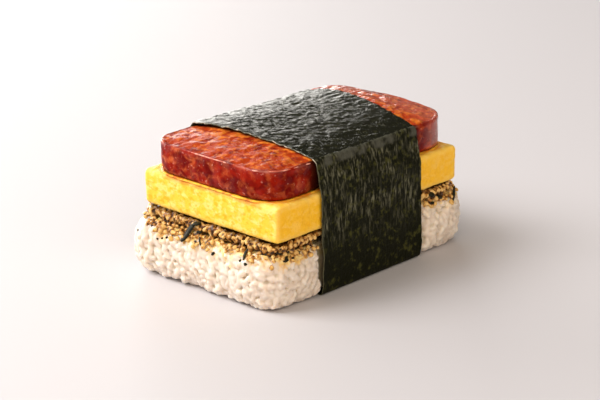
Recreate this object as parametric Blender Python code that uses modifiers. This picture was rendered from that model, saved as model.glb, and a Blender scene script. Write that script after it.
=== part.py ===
"""Block of pressed rice with a seasoned top, a slab of rolled egg and a slice of glazed luncheon
meat, held together by a band of dried seaweed. Metres, +Z up. The block lies along X, and its
origin is the middle of its underside."""

from math import cos, pi, radians, sin

import bmesh
import bpy
from mathutils import Vector, noise

MM = 0.001
COLLECTION_NAME = "egg_and_meat_rice_block"

# Driving sizes, in millimetres. Each piece's unevenness is a list of (size, depth, seed).
EGG_LENGTH = 88.6
EGG_WIDTH = 60.2
EGG_THICKNESS = 12.2
EGG_CORNER = 2.0
EGG_RIM = 1.3
EGG_CELL = 7.0
EGG_LUMPS = ((14.0, 0.25, 12.0),)
EGG_INSET = 0.15  # keeps its lumps inside its stated size

MEAT_LENGTH = 89.0
MEAT_WIDTH = 55.4
MEAT_THICKNESS = 9.7  # at its rim
MEAT_CROWN = 2.1  # how much higher its middle stands
MEAT_CURL = 1.7  # how much its +X end has curled up in the pan
MEAT_CURL_FROM = 0.1  # share of its half length where the curl starts
MEAT_CROWN_END_POWER = 7  # higher keeps the crown level for longer towards the ends
MEAT_CURL_SIDE_POWER = 1.5  # lower makes the curl fall away sooner towards the sides
MEAT_CORNER = 10.5
MEAT_RIM = 1.3
MEAT_CELL = 5.6
MEAT_LUMPS = ((12.0, 0.35, 31.0),)
MEAT_TOP_LUMPS = ((9.0, 0.12, 2.0),)
MEAT_INSET = 0.15

RICE_LENGTH = 96.0
RICE_WIDTH = 62.0
RICE_HEIGHT = 18.8
RICE_CORNER = 7.0
RICE_RIM = 3.0
RICE_BELLY = 1.9  # how far its sides swell out at half their height
RICE_CELL = 4.6
RICE_SIDE_CUTS = (0.32, 0.53, 0.74)  # shares of its height
RICE_LUMPS = ((11.0, 0.8, 3.0), (5.0, 0.4, 8.0))

SEASONING_LENGTH = 92.0
SEASONING_WIDTH = 61.0
SEASONING_THICKNESS = 3.0
SEASONING_CORNER = 6.0
SEASONING_RIM = 1.2
SEASONING_CELL = 4.6
SEASONING_LUMPS = ((6.0, 0.8, 21.0), (3.0, 0.4, 5.0))

GAP = 0.3  # between pieces that touch
BAND_WALL = 0.45
BAND_HALF_LENGTH = 24.5
BAND_FAR_SKEW = 6.0  # how far its +X edge leans out over the top, at its +Y side
BAND_SKEW_RISE = 6.0  # the lean grows over this height, up to the slice's rim
BAND_SKEW_FROM, BAND_SKEW_TO = -0.9, 0.6  # and between these shares of its half width
BAND_CLEARANCE = 0.75  # along X, between its edges and the swelling rice
BAND_PINCH_RUN = 2.0  # the rice swells to its full width over this length beside the band
BAND_FOOT_CORNER = 1.2
BAND_FOOT_SPREAD = 0.8  # how much wider it is round the rice than round the egg
BAND_SHOULDER_CORNER = 2.2
BAND_SHOULDER_START = 8  # degrees, where the shoulder's arc leaves the sloping side
BAND_ARCH_NEAR = 0.5  # how far it stands over the slice's crown at its -X edge
BAND_ARCH_FAR = 1.4  # and at its +X edge
BAND_ARCH_FROM = 0.5  # share of its half length where it starts to lift off the slice
BAND_ARCH_POWER = 2.8  # higher is a flatter top with a steeper fall to its shoulders
BAND_SLACK = 0.2
BAND_STATIONS = 15
BAND_CELL = 2.6
BAND_CORNER_STEPS = 4

CORNER_STEP = 1.6  # radius for each segment of a round corner
CORNER_STEPS_LEAST = 3
RIM_STEPS = 3
CUT_SNAP = 0.06  # cuts this close to each other fall together
SWELL_LIMIT = 6.0  # more than any piece stands out beside the band
SHARP_EDGE = 50  # degrees
NOISE_OFFSET = Vector((1.0, 1.7, 0.6))  # a seed moves the noise this way

# Heights and widths that follow from them.
SEASONING_Z = RICE_HEIGHT + GAP
SEASONING_TOP = SEASONING_Z + SEASONING_THICKNESS
EGG_Z = SEASONING_TOP + GAP
EGG_TOP = EGG_Z + EGG_THICKNESS
MEAT_Z = EGG_TOP + GAP
MEAT_RIM_Z = MEAT_Z + MEAT_THICKNESS
BAND_SIDE_EDGE = BAND_HALF_LENGTH + BAND_CLEARANCE
BAND_INSIDE_HALF_WIDTH = EGG_WIDTH / 2 + GAP

# Each coat is a colour and a roughness.
RICE_COAT = ((0.85, 0.78, 0.66, 1.0), 0.45)
SEASONING_COAT = ((0.13, 0.07, 0.025, 1.0), 0.7)
EGG_COAT = ((0.90, 0.62, 0.13, 1.0), 0.5)
MEAT_COAT = ((0.38, 0.05, 0.02, 1.0), 0.25)
BAND_COAT = ((0.018, 0.024, 0.013, 1.0), 0.4)


def finish(name, colour, roughness):
    """A plain coat for one piece."""
    material = bpy.data.materials.new(name)
    material.use_nodes = True
    shader = material.node_tree.nodes["Principled BSDF"]
    shader.inputs["Base Color"].default_value = colour
    shader.inputs["Roughness"].default_value = roughness
    shader.inputs["Metallic"].default_value = 0.0
    return material


def smoothstep(low, high, value):
    t = min(1.0, max(0.0, (value - low) / (high - low)))
    return t * t * (3.0 - 2.0 * t)


def uneven(point, lumps):
    """Smooth unevenness in millimetres, as deep as the lumps' depths together at most."""
    total = 0.0
    for size, depth, seed in lumps:
        total += depth * noise.noise(point / size + seed * NOISE_OFFSET)
    return total


def rounded_block(length, width, low, high, corner, rim):
    """A block with round upright corners and soft rims."""
    bm = bmesh.new()
    bmesh.ops.create_cube(bm, size=1.0)
    for vertex in bm.verts:
        vertex.co.x *= length
        vertex.co.y *= width
        vertex.co.z = low if vertex.co.z < 0.0 else high
    half_height = (high - low) / 2
    upright = [e for e in bm.edges if abs(e.verts[0].co.z - e.verts[1].co.z) > half_height]
    steps = max(CORNER_STEPS_LEAST, round(corner / CORNER_STEP))
    bmesh.ops.bevel(bm, geom=upright, offset=corner, segments=steps, profile=0.5, affect="EDGES")
    level = [e for e in bm.edges if abs(e.verts[0].co.z - e.verts[1].co.z) < half_height]
    bmesh.ops.bevel(bm, geom=level, offset=rim, segments=RIM_STEPS, profile=0.5, affect="EDGES")
    return bm


def cut_at(bm, axis, place):
    """Cuts every face along one plane, and keeps both sides."""
    normal = Vector((0.0, 0.0, 0.0))
    normal[axis] = 1.0
    everything = bm.verts[:] + bm.edges[:] + bm.faces[:]
    bmesh.ops.bisect_plane(
        bm, geom=everything, dist=CUT_SNAP, plane_co=normal * place, plane_no=normal
    )


def cut_into_cells(bm, length, width, cell):
    for axis, side in enumerate((length, width)):
        count = max(2, round(side / cell))
        for i in range(1, count):
            cut_at(bm, axis, side * (i / count - 0.5))


def outward(point, length, width, corner):
    """The level direction away from a block's core, or zero over its middle."""
    inner_x = length / 2 - corner
    inner_y = width / 2 - corner
    near_x = min(inner_x, max(-inner_x, point.x))
    near_y = min(inner_y, max(-inner_y, point.y))
    return Vector((point.x - near_x, point.y - near_y, 0.0)) / corner


def band_side(z):
    """Half the width between the band's inner faces at a height below its shoulders."""
    spread = 1.0 - smoothstep(RICE_HEIGHT / 2, EGG_Z, z)
    return BAND_INSIDE_HALF_WIDTH + BAND_FOOT_SPREAD * spread


def band_hold(x):
    """1 where the band holds the block, 0 beside it."""
    return 1.0 - smoothstep(BAND_SIDE_EDGE, BAND_SIDE_EDGE + BAND_PINCH_RUN, abs(x))


def keep_inside_band(point):
    limit = band_side(point.z) - GAP + SWELL_LIMIT * (1.0 - band_hold(point.x))
    point.y = min(limit, max(-limit, point.y))


def add_piece(name, bm, material, collection):
    """Turns a mesh in millimetres into an object in metres."""
    bmesh.ops.recalc_face_normals(bm, faces=bm.faces[:])
    bmesh.ops.scale(bm, vec=(MM, MM, MM), verts=bm.verts[:])
    mesh = bpy.data.meshes.new(name)
    bm.to_mesh(mesh)
    bm.free()
    mesh.shade_smooth()
    mesh.set_sharp_from_angle(angle=radians(SHARP_EDGE))
    piece = bpy.data.objects.new(name, mesh)
    piece.data.materials.append(material)
    collection.objects.link(piece)
    return piece


def rice(collection):
    """The pressed rice: it bellies out beside the band, whose floor lies in a shallow recess."""
    bm = rounded_block(RICE_LENGTH, RICE_WIDTH, 0.0, RICE_HEIGHT, RICE_CORNER, RICE_RIM)
    half_run = BAND_PINCH_RUN / 2
    for side in (-1, 1):
        cut_at(bm, 0, side * BAND_SIDE_EDGE)
        cut_at(bm, 0, side * (BAND_SIDE_EDGE + half_run))
    cut_into_cells(bm, RICE_LENGTH, RICE_WIDTH, RICE_CELL)
    for share in RICE_SIDE_CUTS:
        cut_at(bm, 2, share * RICE_HEIGHT)
    recess = BAND_WALL + GAP
    for vertex in bm.verts:
        start = vertex.co.copy()
        away = outward(start, RICE_LENGTH, RICE_WIDTH, RICE_CORNER)
        swelling = RICE_BELLY * sin(pi * min(1.0, max(0.0, start.z / RICE_HEIGHT)))
        swelling += uneven(start, RICE_LUMPS)
        vertex.co += away * swelling * (1.0 - band_hold(start.x))
        keep_inside_band(vertex.co)
        if abs(start.x) <= BAND_SIDE_EDGE + CUT_SNAP and start.z < recess:
            vertex.co.z = recess
    return add_piece("rice", bm, finish("cooked_rice", *RICE_COAT), collection)


def seasoning(collection):
    """The layer of dark seasoned grains between the rice and the egg."""
    bm = rounded_block(
        SEASONING_LENGTH, SEASONING_WIDTH, SEASONING_Z, SEASONING_TOP, SEASONING_CORNER, SEASONING_RIM
    )
    for side in (-1, 1):
        cut_at(bm, 0, side * BAND_SIDE_EDGE)
    cut_into_cells(bm, SEASONING_LENGTH, SEASONING_WIDTH, SEASONING_CELL)
    for vertex in bm.verts:
        start = vertex.co.copy()
        away = outward(start, SEASONING_LENGTH, SEASONING_WIDTH, SEASONING_CORNER)
        vertex.co += away * uneven(start, SEASONING_LUMPS)
        keep_inside_band(vertex.co)
    return add_piece("seasoning", bm, finish("dark_seasoning", *SEASONING_COAT), collection)


def egg(collection):
    bm = rounded_block(EGG_LENGTH, EGG_WIDTH, EGG_Z, EGG_TOP, EGG_CORNER, EGG_RIM)
    cut_into_cells(bm, EGG_LENGTH, EGG_WIDTH, EGG_CELL)
    for vertex in bm.verts:
        start = vertex.co.copy()
        away = outward(start, EGG_LENGTH, EGG_WIDTH, EGG_CORNER)
        vertex.co += away * (uneven(start, EGG_LUMPS) - EGG_INSET)
        keep_inside_band(vertex.co)
    return add_piece("egg", bm, finish("rolled_egg", *EGG_COAT), collection)


def meat_curl(x):
    """From 0 at the slice's middle to 1 at its curled end."""
    return smoothstep(MEAT_CURL_FROM, 1.0, x / (MEAT_LENGTH / 2))


def meat_rise(x, y):
    """How far the slice's top stands over its flat rim: a low crown and a curled end."""
    across = min(1.0, abs(y) / (MEAT_WIDTH / 2))
    along = min(1.0, abs(x) / (MEAT_LENGTH / 2))
    crown = MEAT_CROWN * (1.0 - across**BAND_ARCH_POWER) * (1.0 - along**MEAT_CROWN_END_POWER)
    return crown + MEAT_CURL * (1.0 - across**MEAT_CURL_SIDE_POWER) * meat_curl(x)


def meat(collection):
    bm = rounded_block(MEAT_LENGTH, MEAT_WIDTH, MEAT_Z, MEAT_RIM_Z, MEAT_CORNER, MEAT_RIM)
    cut_into_cells(bm, MEAT_LENGTH, MEAT_WIDTH, MEAT_CELL)
    for vertex in bm.verts:
        start = vertex.co.copy()
        away = outward(start, MEAT_LENGTH, MEAT_WIDTH, MEAT_CORNER)
        vertex.co += away * (uneven(start, MEAT_LUMPS) - MEAT_INSET)
        on_top = smoothstep(MEAT_RIM_Z - MEAT_RIM - CUT_SNAP, MEAT_RIM_Z, start.z)
        vertex.co.z += on_top * (meat_rise(start.x, start.y) + uneven(start, MEAT_TOP_LUMPS))
    return add_piece("meat", bm, finish("glazed_meat", *MEAT_COAT), collection)


def arc(centre, radius, start, end):
    """Points of a corner in the band's cross-section, as (y, z), between two angles."""
    points = []
    for i in range(BAND_CORNER_STEPS + 1):
        angle = radians(start + (end - start) * i / BAND_CORNER_STEPS)
        points.append((centre[0] + radius * cos(angle), centre[1] + radius * sin(angle)))
    return points


def between(start, end):
    """Evenly spaced points from one (y, z) to another, without the two ends."""
    run_y, run_z = end[0] - start[0], end[1] - start[1]
    count = max(1, round((run_y**2 + run_z**2) ** 0.5 / BAND_CELL))
    shares = [i / count for i in range(1, count)]
    return [(start[0] + run_y * share, start[1] + run_z * share) for share in shares]


def band_top(x, y):
    """Height of the band's inner face over the slice: it lifts off towards both its edges."""
    loose = smoothstep(BAND_ARCH_FROM, 1.0, abs(x) / BAND_HALF_LENGTH)
    across = min(1.0, abs(y) / (MEAT_WIDTH / 2))
    lift = MEAT_CROWN + MEAT_CURL * meat_curl(x + BAND_FAR_SKEW)
    lift += loose * (BAND_ARCH_FAR if x > 0.0 else BAND_ARCH_NEAR)
    return MEAT_RIM_Z + GAP + BAND_SLACK + lift * (1.0 - across**BAND_ARCH_POWER)


def band_half_section(x):
    """The inner face from the middle of the underside up to the middle of the top, at +Y."""
    foot_y = band_side(BAND_WALL) - BAND_FOOT_CORNER
    foot_z = BAND_WALL + BAND_FOOT_CORNER
    bend_z = EGG_TOP - EGG_RIM
    shoulder_y = MEAT_WIDTH / 2 + GAP + BAND_SLACK - BAND_SHOULDER_CORNER
    shoulder_z = band_top(x, shoulder_y) - BAND_SHOULDER_CORNER
    shoulder = arc((shoulder_y, shoulder_z), BAND_SHOULDER_CORNER, BAND_SHOULDER_START, 90)
    points = [(0.0, BAND_WALL)]
    points += between(points[0], (foot_y, BAND_WALL))
    points += arc((foot_y, foot_z), BAND_FOOT_CORNER, -90, 0)
    points += [(band_side(z), z) for _, z in between((0.0, foot_z), (0.0, bend_z))]
    points.append((band_side(bend_z), bend_z))
    points += between(points[-1], shoulder[0])
    points += shoulder
    points += [(y, band_top(x, y)) for y, _ in between((shoulder_y, 0.0), (0.0, 0.0))]
    points.append((0.0, band_top(x, 0.0)))
    return points


def band_section(x):
    half = band_half_section(x)
    return half + [(-y, z) for y, z in reversed(half[1:-1])]


def band_skew(y, z):
    """How far the band's +X edge leans out: only over the top, and most at its +Y side."""
    over_top = smoothstep(MEAT_RIM_Z - BAND_SKEW_RISE, MEAT_RIM_Z, z)
    across = smoothstep(BAND_SKEW_FROM, BAND_SKEW_TO, y / BAND_INSIDE_HALF_WIDTH)
    return BAND_FAR_SKEW * over_top * across


def band(collection):
    """A closed loop of thin sheet, lofted through cross-sections that change along X."""
    bm = bmesh.new()
    rings = []
    for i in range(BAND_STATIONS):
        share = i / (BAND_STATIONS - 1)
        x = BAND_HALF_LENGTH * (2 * share - 1)
        section = band_section(x)
        rings.append([bm.verts.new((x + share * band_skew(y, z), y, z)) for y, z in section])
    for near, far in zip(rings, rings[1:]):
        for j in range(len(near)):
            k = (j + 1) % len(near)
            bm.faces.new((near[j], far[j], far[k], near[k]))
    coat = finish("dried_seaweed", *BAND_COAT)
    piece = add_piece("seaweed_band", bm, coat, collection)
    wall = piece.modifiers.new("wall", "SOLIDIFY")
    wall.thickness = BAND_WALL * MM
    wall.offset = 1.0
    wall.use_even_offset = True
    return piece


def main():
    for old in list(bpy.data.objects):
        bpy.data.objects.remove(old, do_unlink=True)
    collection = bpy.data.collections.new(COLLECTION_NAME)
    bpy.context.scene.collection.children.link(collection)
    for make in (rice, seasoning, egg, meat, band):
        make(collection)


main()
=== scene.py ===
# %% [markdown]
# # A hand-held block of rice, egg and glazed luncheon meat in a seaweed band
# The solids of each layer come ready from the frame, at their real size. They are smooth and
# plain. This lesson turns them into food: it copies a solid, gives the copy a fine even mesh,
# works relief into it, and scatters grains, crumbs and flakes where the dish has them.

from math import cos, pi, radians, sin

import bmesh
import bpy
import numpy as np
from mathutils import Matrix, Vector, noise
from mathutils.bvhtree import BVHTree
from mathutils.kdtree import KDTree


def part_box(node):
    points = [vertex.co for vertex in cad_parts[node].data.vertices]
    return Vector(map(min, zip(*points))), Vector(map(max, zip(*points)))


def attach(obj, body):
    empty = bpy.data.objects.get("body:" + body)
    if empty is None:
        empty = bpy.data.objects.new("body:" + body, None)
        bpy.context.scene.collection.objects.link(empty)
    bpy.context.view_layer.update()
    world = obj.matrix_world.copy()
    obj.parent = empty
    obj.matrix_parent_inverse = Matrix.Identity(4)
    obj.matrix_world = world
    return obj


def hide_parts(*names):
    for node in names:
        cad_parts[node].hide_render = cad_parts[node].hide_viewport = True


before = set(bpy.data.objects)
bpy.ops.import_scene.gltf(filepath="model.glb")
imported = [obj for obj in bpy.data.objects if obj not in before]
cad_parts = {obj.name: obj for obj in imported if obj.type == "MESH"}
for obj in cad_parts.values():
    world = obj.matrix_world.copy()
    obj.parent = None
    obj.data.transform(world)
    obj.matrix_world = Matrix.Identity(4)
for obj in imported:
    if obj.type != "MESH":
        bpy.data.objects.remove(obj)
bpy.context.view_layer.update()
MM = 0.001
print("nodes:", sorted(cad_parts))

# %% [markdown]
# ## The camera
# A food photographer steps back and uses a long lens, so that the near corner doesn't swell.
# The camera here stands 720 mm from the block at a low angle, with its near corner towards us.
# Azimuth and elevation are turned into a direction with sines and cosines, and the camera is
# aimed back along it.

# %% Place the camera
CAMERA_AZIMUTH = radians(-47.2)
CAMERA_ELEVATION = radians(19.4)
CAMERA_DISTANCE = 0.7202
CAMERA_TARGET = Vector((-12.9, -10.8, 25.0)) * MM
CAMERA_LENS = 132.1


def direction(azimuth, elevation):
    """A unit vector towards a place round the block, where azimuth 0 is in front of it."""
    level = cos(elevation)
    return Vector((sin(azimuth) * level, -cos(azimuth) * level, sin(elevation)))


def aim(thing, place, target):
    thing.location = place
    thing.rotation_euler = (target - place).to_track_quat("-Z", "Y").to_euler()
    bpy.context.scene.collection.objects.link(thing)


camera = bpy.data.objects.new("camera", bpy.data.cameras.new("camera"))
camera.data.lens = CAMERA_LENS
camera.data.clip_start = 10 * MM
towards_camera = direction(CAMERA_AZIMUTH, CAMERA_ELEVATION)
aim(camera, CAMERA_TARGET + towards_camera * CAMERA_DISTANCE, CAMERA_TARGET)
bpy.context.scene.camera = camera
print("camera at", [round(c, 3) for c in camera.location])

# %% [markdown]
# ## Light and floor
# The block stands in soft daylight: a large window at the left and a little behind, a pale
# wall behind that gives the seaweed its grey sheen, and a room that is light all round. Area
# lights give soft shadows, and the world gives the rest. A plain pale floor takes the shadow
# and throws warm light back at the lower parts.

# %% Light the block
WORLD_COLOUR = (1.0, 0.94, 0.87, 1.0)
WORLD_STRENGTH = 0.055
# name, azimuth, elevation, distance, width, height, watts, colour
LIGHTS = (
    ("window", -132.0, 46.0, 1.7, 1.16, 1.16, 39.0, (1.0, 0.985, 0.96)),
    ("pale_wall", 172.0, 12.0, 1.6, 2.4, 0.7, 40.0, (1.0, 0.975, 0.93)),
    ("room_in_front", -34.0, 34.0, 1.8, 3.4, 2.4, 45.0, (1.0, 0.875, 0.715)),
)
FLOOR_SIZE = 12.0
FLOOR_CELLS = 8
FLOOR_COLOUR = (0.55, 0.53, 0.555, 1.0)


def mesh_from(bm, name):
    """Keeps a bmesh as a named mesh, and frees it."""
    mesh = bpy.data.meshes.new(name)
    bm.to_mesh(mesh)
    bm.free()
    return mesh


def new_piece(name, mesh):
    piece = bpy.data.objects.new(name, mesh)
    bpy.context.scene.collection.objects.link(piece)
    return piece


world = bpy.data.worlds.new("pale_room")
world.use_nodes = True
world.node_tree.nodes["Background"].inputs["Color"].default_value = WORLD_COLOUR
world.node_tree.nodes["Background"].inputs["Strength"].default_value = WORLD_STRENGTH
bpy.context.scene.world = world
bpy.context.scene.view_settings.view_transform = "Standard"
for name, azimuth, elevation, distance, width, height, watts, colour in LIGHTS:
    lamp = bpy.data.lights.new(name, "AREA")
    lamp.shape = "RECTANGLE"
    lamp.size = width
    lamp.size_y = height
    lamp.energy = watts
    lamp.color = colour
    light = bpy.data.objects.new(name, lamp)
    light.visible_camera = False
    aim(light, direction(radians(azimuth), radians(elevation)) * distance, CAMERA_TARGET)

grid = bmesh.new()
bmesh.ops.create_grid(grid, x_segments=FLOOR_CELLS, y_segments=FLOOR_CELLS, size=FLOOR_SIZE / 2)
floor = new_piece("floor", mesh_from(grid, "floor"))
print("lights:", [light[0] for light in LIGHTS])

# %% [markdown]
# ## Arithmetic with nodes
# Materials and Geometry Nodes are both trees of nodes. One helper adds a node, sets its
# options and joins its inputs. The output of a node is wrapped as a value that can be added and
# multiplied, so that each tree below reads as a short recipe. Patterns are measured in
# millimetres on the object, so noise with a size of 2 has lumps 2 mm across.


# %% Build node trees
class Value:
    """An output of a node. Sums and products of values add the nodes that work them out."""

    def __init__(self, socket):
        self.socket = socket
        self.tree = socket.id_data

    def math(self, operation, *others):
        inputs = dict(enumerate((self, *others)))
        return value_of(self.tree, "ShaderNodeMath", inputs, operation=operation)

    def __add__(self, other):
        return self.math("ADD", other)

    def __sub__(self, other):
        return self.math("SUBTRACT", other)

    def __rsub__(self, other):
        return value_of(self.tree, "ShaderNodeMath", {0: other, 1: self}, operation="SUBTRACT")

    def __mul__(self, other):
        return self.math("MULTIPLY", other)

    def __neg__(self):
        return self * -1.0

    def __abs__(self):
        return self.math("ABSOLUTE")

    def scaled(self, share, start):
        """A share of the value, added to a start."""
        return self.math("MULTIPLY_ADD", share, start)

    def fade(self, low, high):
        """0 below low, 1 above high, and smooth between."""
        inputs = {"Value": self, "From Min": low, "From Max": high}
        return value_of(self.tree, "ShaderNodeMapRange", inputs, interpolation_type="SMOOTHSTEP")

    def vector(self, operation, *others, **scale):
        inputs = dict(enumerate((self, *others)), **scale)
        return value_of(self.tree, "ShaderNodeVectorMath", inputs, operation=operation)

    def part(self, axis):
        return value_of(self.tree, "ShaderNodeSeparateXYZ", {0: self}, axis)

    x = property(lambda self: self.part("X"))
    y = property(lambda self: self.part("Y"))
    z = property(lambda self: self.part("Z"))

    def speckle(self, size, detail=2.0, roughness=0.5, distortion=0.0, output="Fac"):
        """Noise from about 0 to 1 at this place."""
        inputs = {"Vector": self, "Scale": 1 / size, "Detail": detail}
        inputs.update({"Roughness": roughness, "Distortion": distortion})
        return value_of(self.tree, "ShaderNodeTexNoise", inputs, output)


def node(tree, kind, inputs=None, **options):
    """Adds a node. An input is given a constant, or a value to join to it."""
    made = tree.nodes.new(kind)
    for option, value in options.items():
        setattr(made, option, value)
    for key, value in (inputs or {}).items():
        if isinstance(value, Value):
            tree.links.new(value.socket, made.inputs[key])
        else:
            made.inputs[key].default_value = value
    return made


def value_of(tree, kind, inputs=None, output=0, **options):
    """Adds a node, and gives one of its outputs."""
    return Value(node(tree, kind, inputs, **options).outputs[output])


# %% Build materials
def new_material(name, roughness, **constants):
    """A material, its tree and its shader. Constants are set on the shader's own sockets."""
    material = bpy.data.materials.new(name)
    material.use_nodes = True
    shader = material.node_tree.nodes["Principled BSDF"]
    shader.inputs["Roughness"].default_value = roughness
    for key, value in constants.items():
        shader.inputs[key.replace("_", " ")].default_value = value
    return material, material.node_tree, shader


def millimetres(tree, stretch=(1.0, 1.0, 1.0)):
    """The place on the object in millimetres. A stretch of 3 draws a pattern out 3 times."""
    place = value_of(tree, "ShaderNodeTexCoord", output="Object")
    scale = [1 / (MM * s) for s in stretch]
    return value_of(tree, "ShaderNodeMapping", {"Vector": place, "Scale": scale})


def blend(share, first, second):
    """The first colour where the share is 0, and the second where it is 1."""
    inputs = {0: share, 6: first, 7: second}
    return value_of(share.tree, "ShaderNodeMix", inputs, 2, data_type="RGBA")


def stored(tree, name):
    """A number that the mesh keeps at each point."""
    return value_of(tree, "ShaderNodeAttribute", output="Fac", attribute_name=name)


def join(shader, **values):
    for key, value in values.items():
        value.tree.links.new(value.socket, shader.inputs[key.replace("_", " ")])


def set_bump(shader, *layers):
    """Joins bumps to the shader, each a pattern with its depth in millimetres."""
    below = {}
    for pattern, depth in layers:
        inputs = {"Height": pattern, "Distance": depth * MM, "Strength": 1.0, **below}
        below = {"Normal": value_of(pattern.tree, "ShaderNodeBump", inputs)}
    join(shader, **below)


floor.data.materials.append(new_material("pale_floor", 0.6, Base_Color=FLOOR_COLOUR)[0])

# %% [markdown]
# ## From a solid to a fine mesh
# Every layer starts as a copy of its solid. The copy's loose triangles are merged, then a
# voxel remesh lays small even faces all over it. Relief needs these, because a face can't
# bend. A little smoothing takes out the solid's facets and keeps its rounded rims.


# %% Copy solids with a fine mesh
def plain_mesh(piece):
    """Replaces a piece's mesh with what its modifiers make of it, and removes them."""
    graph = bpy.context.evaluated_depsgraph_get()
    made = bpy.data.meshes.new_from_object(
        piece.evaluated_get(graph), preserve_all_data_layers=True, depsgraph=graph
    )
    piece.modifiers.clear()
    piece.data = made
    made.name = piece.name
    return piece


def add_remesh(piece, voxel, smoothing):
    """Adds modifiers that lay even faces one voxel wide, in millimetres, and smooth them."""
    remesh = piece.modifiers.new("remesh", "REMESH")
    remesh.mode = "VOXEL"
    remesh.voxel_size = voxel * MM
    smooth = piece.modifiers.new("smooth", "SMOOTH")
    smooth.iterations = smoothing


def fine_copy(node_name, name, voxel, smoothing=6):
    bm = bmesh.new()
    bm.from_mesh(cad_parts[node_name].data)
    bmesh.ops.remove_doubles(bm, verts=bm.verts[:], dist=0.02 * MM)
    piece = new_piece(name, mesh_from(bm, name))
    add_remesh(piece, voxel, smoothing)
    plain_mesh(piece)
    piece.data.shade_smooth()
    return piece


def points_of(mesh):
    points = np.empty(len(mesh.vertices) * 3)
    mesh.vertices.foreach_get("co", points)
    return points.reshape(-1, 3) / MM


def set_points(mesh, points):
    mesh.vertices.foreach_set("co", (points * MM).ravel())


def store(mesh, name, values):
    """Keeps a number at each point, which a material can read by its name."""
    attribute = mesh.attributes.new(name, "FLOAT", "POINT")
    attribute.data.foreach_set("value", np.asarray(values, np.float32))


# %% [markdown]
# ## Relief with Geometry Nodes
# Cooked food is never flat. One small tree moves every point along its normal by a sum of
# patterns: broad lumps, a finer grain and round pits. Its sizes are inputs, so egg, meat, rice
# and seasoned grains each get their own relief from the same tree.


# %% The relief tree
def new_tree(name, *labels):
    """A Geometry Nodes tree, its inputs (a mesh and a number for each label) and its result."""
    tree = bpy.data.node_groups.new(name, "GeometryNodeTree")
    tree.is_modifier = True
    make = tree.interface.new_socket
    make("Geometry", in_out="INPUT", socket_type="NodeSocketGeometry")
    for label in labels:
        make(label, in_out="INPUT", socket_type="NodeSocketFloat")
    make("Geometry", in_out="OUTPUT", socket_type="NodeSocketGeometry")
    outputs = tree.nodes.new("NodeGroupInput").outputs
    inside = {socket.name: Value(socket) for socket in outputs if socket.name}
    return tree, inside, tree.nodes.new("NodeGroupOutput").inputs[0]


def run_tree(piece, tree, **values):
    """Runs a tree on a piece with inputs by name, and keeps the result as a plain mesh."""
    modifier = piece.modifiers.new(tree.name, "NODES")
    modifier.node_group = tree
    for item in tree.interface.items_tree:
        key = item.name.replace(" ", "_").lower()
        if item.item_type == "SOCKET" and item.in_out == "INPUT" and key in values:
            modifier[item.identifier] = float(values.pop(key))
    assert not values, values
    return plain_mesh(piece)


def place_in_mm(tree):
    return value_of(tree, "GeometryNodeInputPosition").vector("SCALE", Scale=1 / MM)


def set_position(mesh, **places):
    """Moves a mesh's points by an Offset, or to a Position."""
    return value_of(mesh.tree, "GeometryNodeSetPosition", {"Geometry": mesh, **places})


def push_out(mesh, normal, depth, result):
    """Ends a tree by moving each point along its normal, by a depth in millimetres."""
    moved = set_position(mesh, Offset=normal.vector("SCALE", Scale=depth * MM))
    mesh.tree.links.new(moved.socket, result)


relief, inside, result = new_tree(
    "relief", "Swell", "Lump Size", "Lump Depth", "Grain Size", "Grain Depth", "Pit Size", "Pit Depth"
)
where = place_in_mm(relief)
lumps, grains, pits = (
    where.vector("DIVIDE", inside[label]) for label in ("Lump Size", "Grain Size", "Pit Size")
)
broad = lumps.speckle(1.0, detail=1.0) - 0.5
fine = grains.speckle(1.0, detail=3.0, roughness=0.6) - 0.5
hollow = value_of(relief, "ShaderNodeTexVoronoi", {"Vector": pits, "Scale": 1.0}, "Distance")
hollow = hollow.fade(0.0, 0.33) - 1.0
depth = broad * inside["Lump Depth"]
depth = fine.scaled(inside["Grain Depth"], depth)
depth = hollow.scaled(inside["Pit Depth"], depth)
share = value_of(relief, "GeometryNodeInputNamedAttribute", {"Name": "relief"}, data_type="FLOAT")
normal = value_of(relief, "GeometryNodeInputNormal")
push_out(inside["Geometry"], normal, depth * share + inside["Swell"], result)
print("relief inputs:", list(inside))

# %% [markdown]
# ## The rolled egg
# Thin sheets of egg are rolled and pressed into a block, then cut into this slab. Its cut
# faces are smooth and soft with tiny pores and faint marbling. Light enters egg a little way
# before it comes out, so the shader scatters it under the surface. Where the glaze of the meat
# has run, the top is stained amber: each point stores how near it is to the meat's foot.

# %% Sizes read from the frame
EGG_LOW, EGG_HIGH = (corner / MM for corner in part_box("egg"))
MEAT_LOW, MEAT_HIGH = (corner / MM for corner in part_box("meat"))
RICE_LOW, RICE_HIGH = (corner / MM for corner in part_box("rice"))
BAND_LOW, BAND_HIGH = (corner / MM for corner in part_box("seaweed_band"))
SEASONING_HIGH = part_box("seasoning")[1] / MM
MEAT_CORNER = 10.5
MEAT_THICKNESS = 9.7
MEAT_RIM_Z = MEAT_LOW.z + MEAT_THICKNESS
TUCK, TUCK_MARGIN, TUCK_WIDTH = 0.7, 1.5, 3.0


def outline_distance(points, half_x, half_y, corner):
    """How far each point lies outside a rounded rectangle, in millimetres, less inside it."""
    away_x = np.abs(points[:, 0]) - (half_x - corner)
    away_y = np.abs(points[:, 1]) - (half_y - corner)
    outside = np.hypot(np.maximum(away_x, 0), np.maximum(away_y, 0))
    return outside + np.minimum(np.maximum(away_x, away_y), 0) - corner


def tucked(points):
    """How far a piece draws in where the seaweed hides it, so that the two never meet."""
    return TUCK * np.clip((-BAND_LOW.x - TUCK_MARGIN - np.abs(points[:, 0])) / TUCK_WIDTH, 0, 1)


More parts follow.
